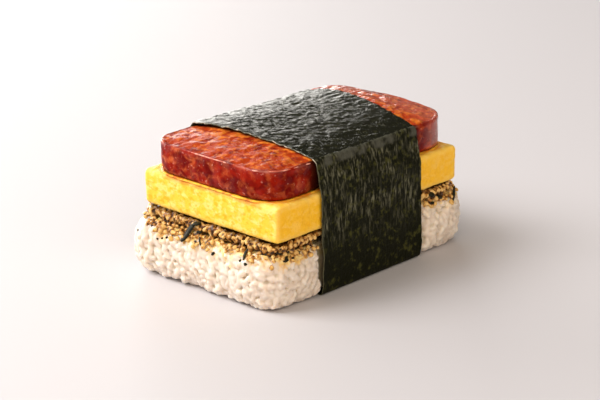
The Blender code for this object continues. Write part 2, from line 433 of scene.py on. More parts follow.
# %% Shape the egg
EGG_ROUND, EGG_DRAW = 2.2, 0.65
EGG_RIM_WIDTH = 2.2
GLAZE_STAIN_WIDTH, GLAZE_STAIN_DEPTH = 1.8, 1.5
egg = fine_copy("egg", "egg_slab", voxel=0.6, smoothing=2)
egg_points = points_of(egg.data)
in_corner = np.clip(1 - (EGG_HIGH.x - np.abs(egg_points[:, 0])) / EGG_ROUND, 0, 1)
in_corner = in_corner * np.clip(1 - (EGG_HIGH.y - np.abs(egg_points[:, 1])) / EGG_ROUND, 0, 1)
egg_points[:, :2] += EGG_DRAW * in_corner[:, None] * np.sign(egg_points[:, :2])
egg_points[:, 1] *= 1 - tucked(egg_points) / EGG_HIGH.y
set_points(egg.data, egg_points)
store(egg.data, "relief", np.ones(len(egg_points)))
run_tree(egg, relief, swell=0.1, lump_size=8.0, lump_depth=0.7, grain_size=1.5,
         grain_depth=0.22, pit_size=2.1, pit_depth=0.22)
egg_points = points_of(egg.data)
foot_distance = outline_distance(egg_points, MEAT_HIGH.x, MEAT_HIGH.y, MEAT_CORNER)
near_foot = np.clip(1.0 - np.maximum(foot_distance, 0) / GLAZE_STAIN_WIDTH, 0, 1)
store(egg.data, "glaze", near_foot * (egg_points[:, 2] > EGG_HIGH.z - GLAZE_STAIN_DEPTH))
walls = np.stack([EGG_HIGH.x - np.abs(egg_points[:, 0]), EGG_HIGH.y - np.abs(egg_points[:, 1]),
                  egg_points[:, 2] - EGG_LOW.z, EGG_HIGH.z - egg_points[:, 2]])
from_rim = np.sort(walls, axis=0)[1]
store(egg.data, "rim", 1 - np.clip(from_rim / EGG_RIM_WIDTH, 0, 1))
print("egg faces:", len(egg.data.polygons))

# %% Finish the egg
EGG_YELLOW = (0.91, 0.53, 0.040, 1.0)
EGG_PALE = (0.95, 0.66, 0.19, 1.0)
EGG_DEEP = (0.82, 0.40, 0.008, 1.0)
EGG_LONG_SIDE = (0.93, 0.49, 0.010, 1.0)
EGG_RIM = (0.97, 0.74, 0.24, 1.0)
GLAZE_STAIN = (0.72, 0.22, 0.01, 1.0)
egg_coat, tree, shader = new_material(
    "egg_coat", 0.5, Subsurface_Weight=0.12, Subsurface_Radius=(1.0, 0.5, 0.1),
    Subsurface_Scale=1.2 * MM, Specular_IOR_Level=0.2,
)
where = millimetres(tree)
laid = millimetres(tree, (1.3, 1.3, 0.9))
marble = laid.speckle(2.2, detail=3.0, distortion=0.3).fade(0.44, 0.62)
spots = laid.speckle(1.5, detail=1.0).fade(0.52, 0.68)
# Painted shade: both long sides are a deeper orange, standing in for the look of the side in shade.
long_sides_shade = abs(where.y).fade(EGG_HIGH.y - 1.1, EGG_HIGH.y - 0.4)
soak = where.speckle(6.0).fade(0.3, 0.7)
colour = blend(marble * 0.8, EGG_YELLOW, EGG_PALE)
colour = blend(spots * 0.8, colour, EGG_DEEP)
colour = blend(long_sides_shade * 0.65, colour, EGG_LONG_SIDE)
colour = blend(stored(tree, "rim") * 0.4, colour, EGG_RIM)
colour = blend(stored(tree, "glaze") * soak * 0.85, colour, GLAZE_STAIN)
join(shader, Base_Color=colour)
set_bump(shader, (where.speckle(1.6, detail=3.0), 0.25),
         (where.speckle(0.6, detail=3.0, roughness=0.65), 0.12))
egg.data.materials.append(egg_coat)
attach(egg, "root")
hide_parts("egg")

# %% [markdown]
# ## The glazed meat
# A slice of pressed meat is fried until its top browns, then coated with a thick sweet glaze.
# The top is uneven with shallow blisters and a thin raised rim, where the glaze gathers and
# catches the light. Under the glaze the meat is mottled with pale and dark flecks. A clear
# coat over a rougher base gives the wet look.

# %% Shape the meat
RIM_LIP = 0.3
RIM_LIP_WIDTH = 0.5
RIM_LIP_INWARD = 0.75
RIM_DEPTH = 1.5
RIM_ROUND, RIM_DRAW, RIM_RISE = 1.5, 0.7, 0.2
RIM_RELIEF, SIDE_RELIEF = 0.1, 0.4
RIM_SHARE_INWARD, RIM_SHARE_WIDTH = 0.45, 0.4
RIM_LINE_FROM, RIM_LINE_FADE = 0.36, 0.12
TOP_INWARD, TOP_FADE = 0.8, 1.2
COVERED_HALF, COVERED_MIDDLE, COVERED_FADE = 29.0, 3.0, 1.5
FAR_END_PULL = 1.0


def under_band(x):
    """1 where the seaweed lies over the slice, so that nothing there stands out into it."""
    return np.clip((COVERED_HALF - np.abs(x - COVERED_MIDDLE)) / COVERED_FADE, 0, 1)


def pull_far_end(points):
    """Draws the far end of the slice in a little."""
    points[:, 0] -= FAR_END_PULL * np.clip(points[:, 0] / MEAT_HIGH.x, 0, 1) ** 2


def sharpen_rim(points, amount):
    """Draws the rounding of the top edge out towards a corner."""
    step = 0.05
    sides = (MEAT_HIGH.x, MEAT_HIGH.y, MEAT_CORNER)
    out = [outline_distance(points + side, *sides) - outline_distance(points - side, *sides)
           for side in (np.array((step, 0, 0)), np.array((0, step, 0)))]
    in_corner = np.clip(1 - inward / RIM_ROUND, 0, 1)
    in_corner = in_corner * np.clip(1 - (MEAT_RIM_Z + RIM_RISE - points[:, 2]) / RIM_ROUND, 0, 1)
    length = np.maximum(np.hypot(*out), 1e-9)
    drawn = amount * in_corner * (1 - under_band(points[:, 0]))
    points[:, 0] += drawn * out[0] / length
    points[:, 1] += drawn * out[1] / length
    points[:, 2] += drawn
    return in_corner


meat = fine_copy("meat", "meat_slice", voxel=0.46, smoothing=4)
meat_points = points_of(meat.data)
inward = -outline_distance(meat_points, MEAT_HIGH.x, MEAT_HIGH.y, MEAT_CORNER)
upper = np.clip((meat_points[:, 2] - (MEAT_RIM_Z - RIM_DEPTH)) / RIM_DEPTH, 0, 1)
rim_corner = sharpen_rim(meat_points, RIM_DRAW)
lip = RIM_LIP * np.exp(-(((inward - RIM_LIP_INWARD) / RIM_LIP_WIDTH) ** 2)) * upper
meat_points[:, 2] += lip - upper * tucked(meat_points)
meat_points[:, 1] *= 1 - tucked(meat_points) / MEAT_HIGH.y
pull_far_end(meat_points)
set_points(meat.data, meat_points)
top_share = upper * np.clip((inward - TOP_INWARD) / TOP_FADE, 0, 1)
rim_share = upper * np.exp(-(((inward - RIM_SHARE_INWARD) / RIM_SHARE_WIDTH) ** 2))
store(meat.data, "top_share", top_share)
store(meat.data, "rim_share", rim_share)
store(meat.data, "rim_line", np.clip((rim_corner - RIM_LINE_FROM) / RIM_LINE_FADE, 0, 1))
amount = SIDE_RELIEF + (1 - SIDE_RELIEF) * top_share
store(meat.data, "relief", amount + (RIM_RELIEF - amount) * rim_share)
run_tree(meat, relief, swell=0.05, lump_size=3.4, lump_depth=1.05, grain_size=1.3,
         grain_depth=0.25, pit_size=5.0, pit_depth=0.25)
print("meat faces:", len(meat.data.polygons))

# %% Finish the meat
MEAT_TOP = (0.35, 0.036, 0.006, 1.0)
MEAT_TOP_DARK = (0.18, 0.009, 0.003, 1.0)
MEAT_TOP_PALE = (0.60, 0.15, 0.026, 1.0)
MEAT_SIDE = (0.26, 0.008, 0.0012, 1.0)
MEAT_SIDE_DARK = (0.11, 0.0012, 0.0003, 1.0)
MEAT_SIDE_PALE = (0.56, 0.11, 0.03, 1.0)
MEAT_GOLD = (0.80, 0.25, 0.028, 1.0)
MEAT_RIM_HIGHLIGHT = (0.90, 0.48, 0.38, 1.0)
MEAT_FAR_SHEEN = (0.78, 0.33, 0.25, 1.0)
MEAT_SHADE_UNDER_BAND = (0.025, 0.003, 0.001, 1.0)
FAT_FLECK = (0.85, 0.42, 0.32, 1.0)
meat_coat, tree, shader = new_material(
    "glazed_meat_coat", 0.5, Subsurface_Weight=0.06, Subsurface_Radius=(1.0, 0.15, 0.08),
    Subsurface_Scale=1.5 * MM, IOR=1.12, Coat_Roughness=0.18, Coat_IOR=1.45,
)
where = millimetres(tree)
by_band = -abs(where.x)
dark = where.speckle(3.0, detail=3.0, roughness=0.6, distortion=0.8).fade(0.49, 0.64)
light = where.speckle(2.2, detail=3.0, roughness=0.6).fade(0.50, 0.66)
toasted = where.speckle(3.4).fade(0.50, 0.62) * by_band.fade(-36.0, -27.0)
top = blend(dark, MEAT_TOP, MEAT_TOP_DARK)
top = blend(light * 0.8, top, MEAT_TOP_PALE)
top = blend(toasted * 0.5, top, MEAT_GOLD)

drawn_up = millimetres(tree, (1.15, 1.15, 1.0))
shade = drawn_up.speckle(4.6, distortion=0.5).fade(0.30, 0.66)
mottle = drawn_up.speckle(2.8, detail=3.0, roughness=0.55, distortion=0.5).fade(0.44, 0.74)
# Painted light: the pale mottle grows towards +Y, the end nearer the window, so that end of the side looks
# lit.
mottle = mottle * where.y.fade(-8.0, 16.0).scaled(0.35, 0.45)
fleck = drawn_up.speckle(1.2).fade(0.62, 0.76)
side = blend(shade, MEAT_SIDE, MEAT_SIDE_DARK)
side = blend(mottle, side, MEAT_SIDE_PALE)
side = blend(fleck * 0.3, side, FAT_FLECK)
# Painted shade: the side turns almost black where it goes under the seaweed's edge, standing in for the
# shadow in the gap there.
side = blend(by_band.fade(-28.5, -24.8) * 0.95, side, MEAT_SHADE_UNDER_BAND)

highlight_patches = where.speckle(4.0).fade(0.38, 0.52)
colour = blend(stored(tree, "top_share"), side, top)
# Painted sheen: the far end of the slice is a paler pink, standing in for its glossy reflection.
colour = blend(where.x.fade(28.0, 37.0) * 0.17, colour, MEAT_FAR_SHEEN)
# Painted highlight: a pale line along the top edge, broken in patches, stands in for the glaze's glint
# there.
colour = blend(stored(tree, "rim_line") * highlight_patches * 0.5, colour, MEAT_RIM_HIGHLIGHT)
wet = where.speckle(3.0).fade(0.48, 0.60) * 0.25
wet = where.x.fade(26.0, 34.0).scaled(0.9, wet)
wet = stored(tree, "rim_share").scaled(0.5, wet)
join(shader, Base_Color=colour, Roughness=light.scaled(0.2, 0.42), Coat_Weight=wet)
calm = stored(tree, "top_share").scaled(0.75, 0.25)
wrinkles = where.speckle(1.5, detail=4.0, roughness=0.6) * calm
set_bump(shader, (wrinkles, 0.42), (where.speckle(0.5, detail=3.0, roughness=0.6), 0.04))
meat.data.materials.append(meat_coat)
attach(meat, "root")
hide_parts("meat")

# %% [markdown]
# ## Glaze at the meat's foot
# Glaze runs down the meat and gathers in the corner where it stands on the egg. It is a thin
# wedge that follows the slice's outline, wider where a drop has come down. Here it is swept:
# the same few corner points are placed at each step along the outline, and noise sets how far
# they reach out.

# %% Sweep the glaze
CORNER_STEPS = 24
GLAZE_STEPS = 400
GLAZE_LEAST, GLAZE_MOST, GLAZE_FINE = 0.04, 1.8, 0.1
GLAZE_DROP_SIZE, GLAZE_DROP_FROM, GLAZE_FINE_SIZE = 7, 0.22, 2
GLAZE_LIFT = 0.1
# how far out (a share of the reach) and how high in mm, round the wedge
GLAZE_WEDGE = (
    (-0.9, -0.2), (1.0, -0.2), (0.9, -0.1), (0.5, 0.05), (0.1, 0.22), (-0.3, 0.4), (-0.9, 0.45),
)
GLAZE_COLOURS = ((0.84, 0.46, 0.035, 1.0), (0.55, 0.13, 0.008, 1.0))


def spread_along(path, rows, count):
    """Resamples rows of pairs at even steps along a path of places."""
    run = np.concatenate([[0], np.cumsum(np.hypot(*np.diff(path, axis=0).T))])
    at = np.linspace(0, run[-1], count, endpoint=False)
    return [np.stack([np.interp(at, run, row[:, i]) for i in (0, 1)], axis=1) for row in rows]


def foot_outline(count):
    """Points along the slice's rounded outline in mm, each with the direction out of it."""
    line = []
    middle = Vector((MEAT_HIGH.x - MEAT_CORNER, MEAT_HIGH.y - MEAT_CORNER))
    for quarter in range(4):
        side = Vector((1 if quarter in (0, 3) else -1, 1 if quarter < 2 else -1))
        for angle in np.radians(np.linspace(90 * quarter, 90 * quarter + 90, CORNER_STEPS)):
            out = Vector((cos(angle), sin(angle)))
            line.append((middle * side + out * MEAT_CORNER, out))
    places = np.array([place for place, out in line + line[:1]])
    outs = np.array([out for place, out in line + line[:1]])
    places, outs = spread_along(places, (places, outs), count)
    pull_far_end(places)
    return places, outs


def noise_at(x, y, size, seed):
    return noise.noise(Vector((x / size, y / size, seed)))


def ring_faces(rings, sides, closed=True):
    """Four-sided faces between rings of points, which are listed one ring after another."""
    faces = []
    for i in range(rings if closed else rings - 1):
        low, high = i * sides, (i + 1) % rings * sides
        for j in range(sides):
            k = (j + 1) % sides
            faces.append((low + j, high + j, high + k, low + k))
    return faces


def swept_mesh(name, points, faces):
    """A mesh of points in mm, with all its faces turned the same way."""
    mesh = bpy.data.meshes.new(name)
    mesh.from_pydata((np.array(points) * MM).tolist(), [], faces)
    bm = bmesh.new()
    bm.from_mesh(mesh)
    bmesh.ops.recalc_face_normals(bm, faces=bm.faces[:])
    bm.to_mesh(mesh)
    bm.free()
    return mesh


def glaze_mesh():
    points = []
    for place, out in zip(*foot_outline(GLAZE_STEPS)):
        drop = noise_at(place[0], place[1], GLAZE_DROP_SIZE, 31.0)
        fine_drop = noise_at(place[0], place[1], GLAZE_FINE_SIZE, 12.0)
        reach = GLAZE_LEAST + GLAZE_MOST * max(0.0, drop - GLAZE_DROP_FROM)
        reach += GLAZE_FINE * max(0.0, fine_drop)
        for share, lift in GLAZE_WEDGE:
            beyond = share * reach if share > 0 else share
            height = EGG_HIGH.z + GLAZE_LIFT + lift * (0.6 + 0.5 * reach if lift > 0 else 1.0)
            points.append((place[0] + out[0] * beyond, place[1] + out[1] * beyond, height))
    return swept_mesh("glaze_pool", points, ring_faces(GLAZE_STEPS, len(GLAZE_WEDGE)))


glaze_coat, tree, shader = new_material("amber_glaze_coat", 0.35, Specular_IOR_Level=0.2)
where = millimetres(tree)
join(shader, Base_Color=blend(where.speckle(3.0).fade(0.35, 0.65), *GLAZE_COLOURS))
set_bump(shader, (where.speckle(1.2), 0.06))
glaze_pool = new_piece("glaze_pool", glaze_mesh())
glaze_pool.data.shade_smooth()
glaze_pool.data.materials.append(glaze_coat)
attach(glaze_pool, "root")
print("glaze faces:", len(glaze_pool.data.polygons))

# %% [markdown]
# ## The bead on the rim
# Glaze also hangs on the slice's top edge, as a bead half a millimetre wide. Its pale colour is a
# painted highlight, a thin line broken where the glaze has run off. The edge is uneven, so the bead's
# path is read from the meat's own mesh, and its width follows noise. Where the noise is low it sinks
# into the meat.

# %% Sweep the bead
BEAD_STEPS, BEAD_SIDES, BEAD_RADIUS = 600, 6, 0.22
BEAD_NEIGHBOURS, BEAD_SMOOTHING = 10, 4
BEAD_USUAL, BEAD_SPREAD, BEAD_BREAK_SIZE = 0.8, 1.5, 3.5
BEAD_COVERED = 2.5
BEAD_LEAST, BEAD_SUNK = 0.3, 0.1
BEAD_HIGHLIGHT_COLOURS = ((0.50, 0.09, 0.05, 1.0), (0.80, 0.38, 0.29, 1.0))


def rim_path():
    """Where the slice's top edge runs, in mm, with the direction out of it."""
    edge = points_of(meat.data)[rim_corner > RIM_LINE_FROM]
    nearest = KDTree(len(edge))
    for index, place in enumerate(edge):
        nearest.insert((place[0], place[1], 0.0), index)
    nearest.balance()
    places, outs = foot_outline(BEAD_STEPS)
    path = []
    for place in places:
        found = nearest.find_n((place[0], place[1], 0.0), BEAD_NEIGHBOURS)
        path.append(np.mean([edge[index] for _, index, _ in found], axis=0))
    path = np.array(path)
    for _ in range(BEAD_SMOOTHING):
        path = (np.roll(path, 1, axis=0) + 2 * path + np.roll(path, -1, axis=0)) / 4
    return path, outs


def bead_mesh():
    points = []
    for place, out in zip(*rim_path()):
        full = BEAD_USUAL + BEAD_SPREAD * noise_at(place[0], place[1], BEAD_BREAK_SIZE, 5.0)
        full -= BEAD_COVERED * under_band(place[0])
        radius = BEAD_RADIUS * min(1.0, max(BEAD_LEAST, full))
        sunk = BEAD_RADIUS * (BEAD_SUNK + (1 - BEAD_SUNK) * (1 - min(1.0, max(0.0, full))))
        for j in range(BEAD_SIDES):
            angle = 2 * pi * j / BEAD_SIDES
            beyond, height = radius * cos(angle) - sunk, radius * sin(angle) - sunk
            spot = (place[0] + out[0] * beyond, place[1] + out[1] * beyond, place[2] + height)
            points.append(spot)
    return swept_mesh("glaze_bead", points, ring_faces(BEAD_STEPS, BEAD_SIDES))


bead_coat, tree, shader = new_material("rim_glaze_coat", 0.28, Specular_IOR_Level=0.45)
where = millimetres(tree)
# Painted highlight: the bead's pale pink stands in for the glint on the rim; the bead also has its own
# gloss.
join(shader, Base_Color=blend(where.speckle(2.0).fade(0.35, 0.65), *BEAD_HIGHLIGHT_COLOURS))
set_bump(shader, (where.speckle(0.8), 0.1))
bead = new_piece("glaze_bead", bead_mesh())
bead.data.shade_smooth()
bead.data.materials.append(bead_coat)
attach(bead, "root")
print("bead faces:", len(bead.data.polygons))

# %% [markdown]
# ## The seaweed band
# Dried seaweed is a thin crinkled sheet. It is drawn over the stack: flat under the rice, up
# past the egg, sloping in to the narrower meat and bowed over its crown, off which its two
# edges lift. The sheet is lofted here through cross-sections, finer than the solid's, with
# ragged edges. The same relief idea then crinkles it, and Solidify gives it its thickness.

# %% The band's cross-section
BAND_HALF_LENGTH = -BAND_LOW.x
BAND_SKEW = BAND_HIGH.x - BAND_HALF_LENGTH
SHOULDER_BACK, SHOULDER_FRONT = 3.2, 1.3
FLOOR_Z, FOOT, FOOT_STEPS = 0.12, 1.4, 6
SIDE_GAP, TOP_GAP = 0.55, 0.75
RICE_WIDER, RICE_WIDER_TO = 0.8, 9.4
SIDE_POINTS, SIDE_FROM, SIDE_TO = 12, 2, 1.2
TOP_POINTS = 14
BACK_SLACK = 0.8
MEAT_CROWN, MEAT_CURL = 2.1, 1.7
ARCH_NEAR, ARCH_FAR, ARCH_POWER = 0.5, 0.3, 2.3


def smoothstep(low, high, value):
    t = np.clip((value - low) / (high - low), 0, 1)
    return t * t * (3 - 2 * t)


def sheet_side(z):
    """Half the sheet's width at a height: it is wider round the rice than round the egg."""
    return EGG_HIGH.y + SIDE_GAP + RICE_WIDER * (1 - smoothstep(RICE_WIDER_TO, EGG_LOW.z, z))


def sheet_top(x, y):
    """The sheet's height over the meat, with the two edges lifting off it."""
    loose = smoothstep(0.5, 1.0, abs(x) / BAND_HALF_LENGTH)
    across = min(1.0, abs(y) / MEAT_HIGH.y)
    lift = MEAT_CROWN + MEAT_CURL * smoothstep(0.1, 1.0, (x + BAND_SKEW) / MEAT_HIGH.x)
    lift += loose * (ARCH_FAR if x > 0 else ARCH_NEAR)
    slack = BACK_SLACK * smoothstep(-0.1, 0.9, y / MEAT_HIGH.y)
    slack *= smoothstep(-0.6, 0.6, -x / BAND_HALF_LENGTH)
    return MEAT_RIM_Z + TOP_GAP + slack + lift * (1 - across**ARCH_POWER)


def corner_points(centre, radius, start, end):
    angles = np.radians(np.linspace(start, end, FOOT_STEPS))
    return [(centre[0] + radius * cos(a), centre[1] + radius * sin(a)) for a in angles]


def half_section(x, side):
    """The sheet from the middle of the floor to the middle of the top. Side is 1 or -1."""
    foot_y = sheet_side(FLOOR_Z) - FOOT
    bend = SHOULDER_BACK if side > 0 else SHOULDER_FRONT
    shoulder_y = MEAT_HIGH.y + TOP_GAP - bend
    shoulder_z = sheet_top(x, side * shoulder_y) - bend
    heights = np.linspace(FLOOR_Z + FOOT + SIDE_FROM, EGG_HIGH.z - SIDE_TO, SIDE_POINTS)
    points = [(0.0, FLOOR_Z)]
    points += corner_points((foot_y, FLOOR_Z + FOOT), FOOT, -90, 0)
    points += [(sheet_side(z), z) for z in heights]
    points += corner_points((shoulder_y, shoulder_z), bend, 8, 90)
    points += [(y, sheet_top(x, side * y)) for y in np.linspace(shoulder_y, 0, TOP_POINTS)[1:]]
    return points


def even_section(x, count):
    """The whole loop, resampled so that its points lie evenly along it."""
    near = [(-y, z) for y, z in half_section(x, -1)]
    loop = np.array(half_section(x, 1) + near[-2::-1])
    return spread_along(loop, [loop], count)[0]


half_loop = np.diff(half_section(0, 1), axis=0)
print("half of the sheet's loop is", round(sum(np.hypot(*half_loop.T))), "mm")

# %% Loft the sheet
EDGE_SEED = 4.0
EDGE_WAVE = ((9.0, 0.35), (2.6, 0.28), (0.9, 0.16))
BITE_SIZE, BITE_DEPTH, BITE_FROM, BITE_SEED = 3.1, 1.6, 0.42, 20
EDGE_FLARE, EDGE_FLARE_WIDTH = 0.45, 0.9
FLARE_LOW, FLARE_HIGH = (1.0, 5.0), (36.0, 40.0)
LOOP_POINTS = 350
SHEET_STATIONS = 130
MIDDLE_HEIGHT = 24 * MM
SIDE_SLOT, EDGE_SLOT, TOP_SLOT = 0, 1, 2


def edge_wave(y, z, side):
    """How ragged an edge is at a place on it: long waves, teeth and fine fibres."""
    total = 0.0
    for size, depth in EDGE_WAVE:
        total += depth * noise_at(y, z, size, side * EDGE_SEED + size)
    bite = noise_at(y, z, BITE_SIZE, side * EDGE_SEED + BITE_SEED)
    return total - BITE_DEPTH * max(0.0, bite - BITE_FROM)


def skew_at(y, z):
    over_top = smoothstep(MEAT_RIM_Z - 6, MEAT_RIM_Z, z)
    return BAND_SKEW * over_top * smoothstep(-0.9, 0.6, y / EGG_HIGH.y)


def sheet_mesh():
    points = []
    for share in [i / (SHEET_STATIONS - 1) for i in range(SHEET_STATIONS)]:
        for y, z in even_section(BAND_HALF_LENGTH * (2 * share - 1), LOOP_POINTS):
            near = -BAND_HALF_LENGTH - edge_wave(y, z, -1)
            far = BAND_HALF_LENGTH + skew_at(y, z) + edge_wave(y, z, 1)
            place = near + (far - near) * share
            edge = EDGE_FLARE * np.exp(-min(place - near, far - place) / EDGE_FLARE_WIDTH)
            edge *= smoothstep(*FLARE_LOW, z) * (1 - smoothstep(*FLARE_HIGH, z))
            points.append((place, y + edge * np.sign(y), z))
    faces = [(a, d, c, b) for a, b, c, d in ring_faces(SHEET_STATIONS, LOOP_POINTS, closed=False)]
    return swept_mesh("seaweed_sheet", points, faces)


band = new_piece("seaweed_sheet", sheet_mesh())
middle = Vector((0, 0, MIDDLE_HEIGHT))
outwards = [polygon.normal.dot(polygon.center - middle) > 0 for polygon in band.data.polygons]
if sum(outwards) < len(outwards) / 2:
    band.data.flip_normals()
for polygon in band.data.polygons:
    middle = polygon.center / MM
    over_top = middle.z > MEAT_RIM_Z - 2 and abs(middle.y) < MEAT_HIGH.y - 0.4
    polygon.material_index = TOP_SLOT if over_top else SIDE_SLOT
print("sheet faces:", len(band.data.polygons))

# %% Crinkle the sheet
SHEET_WALL = 0.34
RIM_SLOT_STEP = 1
CRINKLE_STRETCH, CRINKLE_TURN = (1.5, 1.0, 1.0), radians(45)
STREAK_STRETCH = (1.0, 1.0, 5.0)
crinkle, inside, result = new_tree(
    "crinkle", "Wave Size", "Wave Depth", "Crinkle Size", "Crinkle Depth", "Streak Size",
    "Streak Depth",
)
where = place_in_mm(crinkle)
normal = value_of(crinkle, "GeometryNodeInputNormal")


def ripple(kind, detail, distortion=0.0, stretch=(1.0, 1.0, 1.0), turn=0.0):
    """A pattern as deep as its input says, drawn out along the sheet's axes or, turned, askew."""
    turned = {"Vector": where, "Angle": turn}
    turned = value_of(crinkle, "ShaderNodeVectorRotate", turned, rotation_type="Z_AXIS")
    drawn = turned.vector("DIVIDE", stretch).vector("DIVIDE", inside[kind + " Size"])
    pattern = drawn.speckle(1.0, detail=detail, distortion=distortion) - 0.5
    return pattern * inside[kind + " Depth"]


waves = ripple("Wave", 1.0)
on_top = normal.z.fade(0.4, 0.9)
pulled = (-where.y).fade(6.0, 27.0)
settled = where.y.fade(10.0, 24.0)
crumple = ripple("Crinkle", 2.0, distortion=0.4, stretch=CRINKLE_STRETCH, turn=CRINKLE_TURN)
crumple = crumple * on_top.scaled(0.8, 0.2) * pulled.scaled(-0.1, 1.0) * settled.scaled(-0.2, 1.0)
streaks = ripple("Streak", 2.0, distortion=0.3, stretch=STREAK_STRETCH)
streaks = streaks * where.z.fade(6.0, 22.0) * (1.0 - on_top)
depth = (waves + crumple + streaks) * where.z.fade(0.3, 4.0)
push_out(inside["Geometry"], normal, depth, result)
run_tree(band, crinkle, wave_size=9.0, wave_depth=0.6, crinkle_size=1.7, crinkle_depth=1.3,
         streak_size=1.2, streak_depth=1.1)
wall = band.modifiers.new("wall", "SOLIDIFY")
wall.thickness = SHEET_WALL * MM
wall.offset = -1.0
wall.use_rim = True
wall.material_offset_rim = RIM_SLOT_STEP

# %% Finish the seaweed
SEAWEED_BLACK = (0.0065, 0.007, 0.0025, 1.0)
SEAWEED_STREAK = (0.18, 0.175, 0.115, 1.0)
SEAWEED_SHEEN_STRIP = (0.078, 0.078, 0.062, 1.0)
SEAWEED_OLIVE = (0.060, 0.060, 0.016, 1.0)
SEAWEED_TINT = (1.0, 0.965, 0.86, 1.0)
SEAWEED_EDGE = ((0.02, 0.02, 0.008, 1.0), (0.12, 0.11, 0.05, 1.0))
SEAWEED_EDGE_HIGHLIGHT = (0.60, 0.54, 0.42, 1.0)


def seaweed_material(name, roughness, specular, streak_share, spot_share, fine, taut_share):
    """Green-black, with olive spots, paler streaks high on the sides that are fibre and painted light, and a
    painted sheen strip under the shoulder.
    """
    material, tree, shader = new_material(
        name, roughness, Specular_IOR_Level=specular, Specular_Tint=SEAWEED_TINT)
    where = millimetres(tree)
    drawn = millimetres(tree, (1.0, 1.3, 5.0))
    cluster = where.speckle(8.0).fade(0.36, 0.60)
    # The paler streaks are fibre and also painted light: they lie high on the side, where the wrinkles catch
    # the light.
    high = where.z.fade(10.0, 26.0) * cluster.scaled(0.75, 0.25)
    streak = drawn.speckle(0.8, detail=4.0, roughness=0.65, distortion=0.3).fade(0.46, 0.70)
    spot = where.speckle(1.9, detail=3.0, roughness=0.6).fade(0.52, 0.70)
    # Painted sheen: a paler strip just under the shoulder, in patches, stands in for the sheen where the
    # side turns up to the top.
    strip = where.z.fade(MEAT_RIM_Z - 2.6, MEAT_RIM_Z - 1.4)
    sheen_patches = where.speckle(5.0, detail=3.0).fade(0.36, 0.58) * streak_share
    colour = blend(streak * high * streak_share, SEAWEED_BLACK, SEAWEED_STREAK)
    colour = blend(spot * spot_share, colour, SEAWEED_OLIVE)
    colour = blend(strip * sheen_patches, colour, SEAWEED_SHEEN_STRIP)
    taut = (-where.y).fade(6.0, 27.0) * taut_share
    rough = taut.scaled(-0.12, spot.scaled(0.15, roughness))
    join(shader, Base_Color=colour, Roughness=rough)
    relief_share = taut.scaled(-0.5, 1.0)
    fibres = drawn.speckle(0.8, detail=4.0, roughness=0.65) * relief_share
    grain = where.speckle(1.0, detail=3.0, roughness=0.6) * relief_share
    set_bump(shader, (fibres, fine), (grain, fine), (where.speckle(0.35), 0.04))
    return material


side_coat = seaweed_material("seaweed_side_coat", 0.42, 0.05, streak_share=0.85, spot_share=0.8,
                             fine=0.30, taut_share=0.0)
over_coat = seaweed_material("seaweed_top_coat", 0.34, 0.9, streak_share=0.0, spot_share=0.25,
                             fine=0.2, taut_share=1.0)
edge_coat, tree, shader = new_material("seaweed_edge_coat", 0.6)
where = millimetres(tree)
fibres = where.speckle(0.6, detail=3.0)
# Painted highlight: the cut edge is paler in patches high on the sheet, where it catches the light.
highlight_patches = where.speckle(2.4, detail=3.0).fade(0.48, 0.62) * where.z.fade(42.0, 46.0)
join(shader, Base_Color=blend(highlight_patches, blend(fibres, *SEAWEED_EDGE), SEAWEED_EDGE_HIGHLIGHT))
set_bump(shader, (fibres, 0.1))
# the wall's rim takes the slot after its face's own, so the edge's coat is there twice at first
for coat in (side_coat, edge_coat, over_coat, edge_coat):
    band.data.materials.append(coat)
plain_mesh(band)
band.data.shade_smooth()
for polygon in band.data.polygons:
    if polygon.material_index > TOP_SLOT:
        polygon.material_index = EDGE_SLOT
band.data.materials.pop(index=TOP_SLOT + 1)
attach(band, "root")
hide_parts("seaweed_band")
print("band triangles about:", 2 * len(band.data.polygons))

# %% [markdown]
# ## Scattering with Geometry Nodes
# Grains, crumbs and seasoning all follow the surface that they lie on. One tree scatters copies
# of a small shape over a skin: it throws points evenly, tips and turns each copy, realizes
# them, and bends every one a little with noise so that no two are alike. A number from 0 to 1
# is stored on each copy for its tone.

# %% The scatter tree
POINT_DENSITY = 3e6
BEND_SIZE = 2.5
SKIN_VOXEL = 1.2


def random_between(low, high, seed):
    inputs = {2: low, 3: high, "Seed": seed}
    return value_of(seed.tree, "FunctionNodeRandomValue", inputs, 1)


def joined(tree, x, y, z):
    return value_of(tree, "ShaderNodeCombineXYZ", {0: x, 1: y, 2: z})


